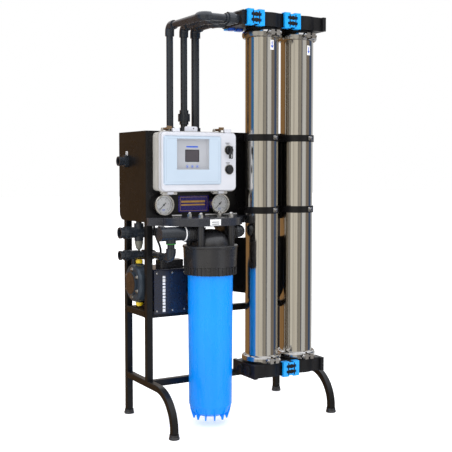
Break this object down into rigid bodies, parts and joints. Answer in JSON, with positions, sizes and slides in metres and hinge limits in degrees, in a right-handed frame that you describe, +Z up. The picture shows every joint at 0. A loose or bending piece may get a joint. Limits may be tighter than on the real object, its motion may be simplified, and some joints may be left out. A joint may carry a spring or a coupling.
{
  "type": "reverse osmosis unit",
  "caption": "Free-standing commercial reverse osmosis unit: steel tube frame, control box, gauges, sediment filter, booster pump, and steel membrane vessels joined by a manifold and risers.",
  "frame": {"origin": "on the floor, at the centre of the overall footprint", "axes": "+Z up, -Y towards the operator's side with the control box, +X towards the membrane vessels"},
  "size_m": [0.649, 0.375, 1.2645],
  "materials": {
    "frame": "satin powder coat",
    "box_plastic": "moulded, satin",
    "window": "clear tinted over white",
    "panel_grey": "fine texture",
    "screen": "dark display",
    "key_blue": "gloss",
    "board": "circuit board",
    "gasket": "foam",
    "control_black": "gloss",
    "steel": "polished stainless",
    "chrome": "bright",
    "dial": "printed",
    "needle": "black",
    "glass": "clear",
    "cap_black": "moulded polypropylene",
    "sump_blue": "moulded polypropylene",
    "cartridge": "spun polypropylene",
    "pump_grey": "cast, painted",
    "yellow": "moulded",
    "cover_navy": "satin",
    "vessel_steel": "polished stainless",
    "membrane": "wrapped",
    "block_black": "glass-filled plastic",
    "clip_blue": "moulded",
    "plug_blue": "moulded",
    "pipe": "slate PVC",
    "valve_grey": "moulded",
    "cable": "jacket"
  },
  "bodies": {
    "unit": {"posts": "frame", "side_legs": "frame", "crossbars": "frame", "foot_caps": "cap_black", "cabinet_cowl": "frame", "filter_shelf": "frame", "equipment_plate": "frame", "box_base": "box_plastic", "hinge_pins": "steel", "gauge_cases": "steel", "gauge_dials": "dial", "gauge_glasses": "glass", "filter_cap": "cap_black", "filter_bolts": "chrome", "pump_head": "pump_grey", "pump_plugs": "yellow", "motor_body": "pump_grey", "motor_cover": "cover_navy", "pump_base": "frame", "vessel_left": "vessel_steel", "vessel_right": "vessel_steel", "membrane_elements": "membrane", "top_blocks": "block_black", "bottom_blocks": "block_black", "top_inlet_block": "block_black", "manifold_clips": "clip_blue", "port_plugs": "plug_blue", "v_clamps": "chrome", "vessel_straps": "frame", "permeate_riser": "pipe", "concentrate_riser": "pipe", "feed_riser": "pipe", "drain_line": "pipe", "check_valve": "valve_grey", "inlet_line": "pipe", "filter_outlet_line": "pipe", "terminal_box": "cap_black", "cabinet_port": "pipe", "pump_cable": "cable"},
    "lid": {"box_lid": "box_plastic", "lid_gasket": "gasket", "lid_window": "window", "display_panel": "panel_grey", "display_screen": "screen", "control_bezels": "control_black", "control_board": "board"},
    "latch_left": {"latch_left": "steel"},
    "latch_right": {"latch_right": "steel"},
    "knob": {"selector_knob": "control_black"},
    "button": {"push_button": "control_black"},
    "key_left": {"key_left": "key_blue"},
    "key_middle": {"key_middle": "key_blue"},
    "key_right": {"key_right": "key_blue"},
    "needle_left": {"needle_left": "needle"},
    "needle_right": {"needle_right": "needle"},
    "relief": {"relief_button": "cap_black"},
    "cartridge": {"filter_cartridge": "cartridge", "sump_seal": "gasket"},
    "sump": {"sump": "sump_blue"},
    "rotor": {"pump_rotor": "steel"}
  },
  "joints": [
    {"name": "lid_hinge", "type": "hinge", "parent": "unit", "child": "lid", "pos_m": [-0.1265, -0.056, 0.711], "axis": [1, 0, 0], "range_deg": [0, 95]},
    {"name": "latch_left_swing", "type": "hinge", "parent": "unit", "child": "latch_left", "pos_m": [-0.222, -0.046, 0.9035], "axis": [-1, 0, 0], "range_deg": [0, 110]},
    {"name": "latch_right_swing", "type": "hinge", "parent": "unit", "child": "latch_right", "pos_m": [-0.044, -0.046, 0.9035], "axis": [-1, 0, 0], "range_deg": [0, 110]},
    {"name": "selector_turn", "type": "hinge", "parent": "lid", "child": "knob", "pos_m": [-0.0206, -0.08, 0.842], "axis": [0, 1, 0], "range_deg": [-60, 60]},
    {"name": "button_press", "type": "slide", "parent": "lid", "child": "button", "axis": [0, 1, 0], "range_m": [0, 0.004], "stiffness_N_per_m": 400, "springref_m": -0.001},
    {"name": "key_left_press", "type": "slide", "parent": "lid", "child": "key_left", "axis": [0, 1, 0], "range_m": [0, 0.001], "stiffness_N_per_m": 600, "springref_m": -0.001},
    {"name": "key_middle_press", "type": "slide", "parent": "lid", "child": "key_middle", "axis": [0, 1, 0], "range_m": [0, 0.001], "stiffness_N_per_m": 600, "springref_m": -0.001},
    {"name": "key_right_press", "type": "slide", "parent": "lid", "child": "key_right", "axis": [0, 1, 0], "range_m": [0, 0.001], "stiffness_N_per_m": 600, "springref_m": -0.001},
    {"name": "relief_press", "type": "slide", "parent": "unit", "child": "relief", "axis": [0, 0, -1], "range_m": [0, 0.004], "stiffness_N_per_m": 500, "springref_m": -0.001},
    {"name": "needle_left_swing", "type": "hinge", "parent": "unit", "child": "needle_left", "pos_m": [-0.2198, -0.031, 0.675], "axis": [0, 1, 0], "range_deg": [0, 270], "stiffness_Nm_per_rad": 0.002, "springref_deg": -2.86},
    {"name": "needle_right_swing", "type": "hinge", "parent": "unit", "child": "needle_right", "pos_m": [-0.0253, -0.031, 0.675], "axis": [0, 1, 0], "range_deg": [0, 270], "stiffness_Nm_per_rad": 0.002, "springref_deg": -2.86},
    {"name": "rotor_spin", "type": "hinge", "parent": "unit", "child": "rotor", "pos_m": [-0.17, 0.067, 0.431], "axis": [1, 0, 0], "continuous": true},
    {"name": "cartridge_drop", "type": "slide", "parent": "unit", "child": "cartridge", "axis": [0, 0, -1], "range_m": [0, 0.0151]},
    {"name": "sump_unscrew", "type": "hinge", "parent": "cartridge", "child": "sump", "pos_m": [-0.09, -0.086, 0.49], "axis": [0, 0, -1], "range_deg": [0, 900]}
  ],
  "couplings": [
    {"joint": "cartridge_drop", "follows": "sump_unscrew", "m_per_rad": 0.00095493}
  ]
}
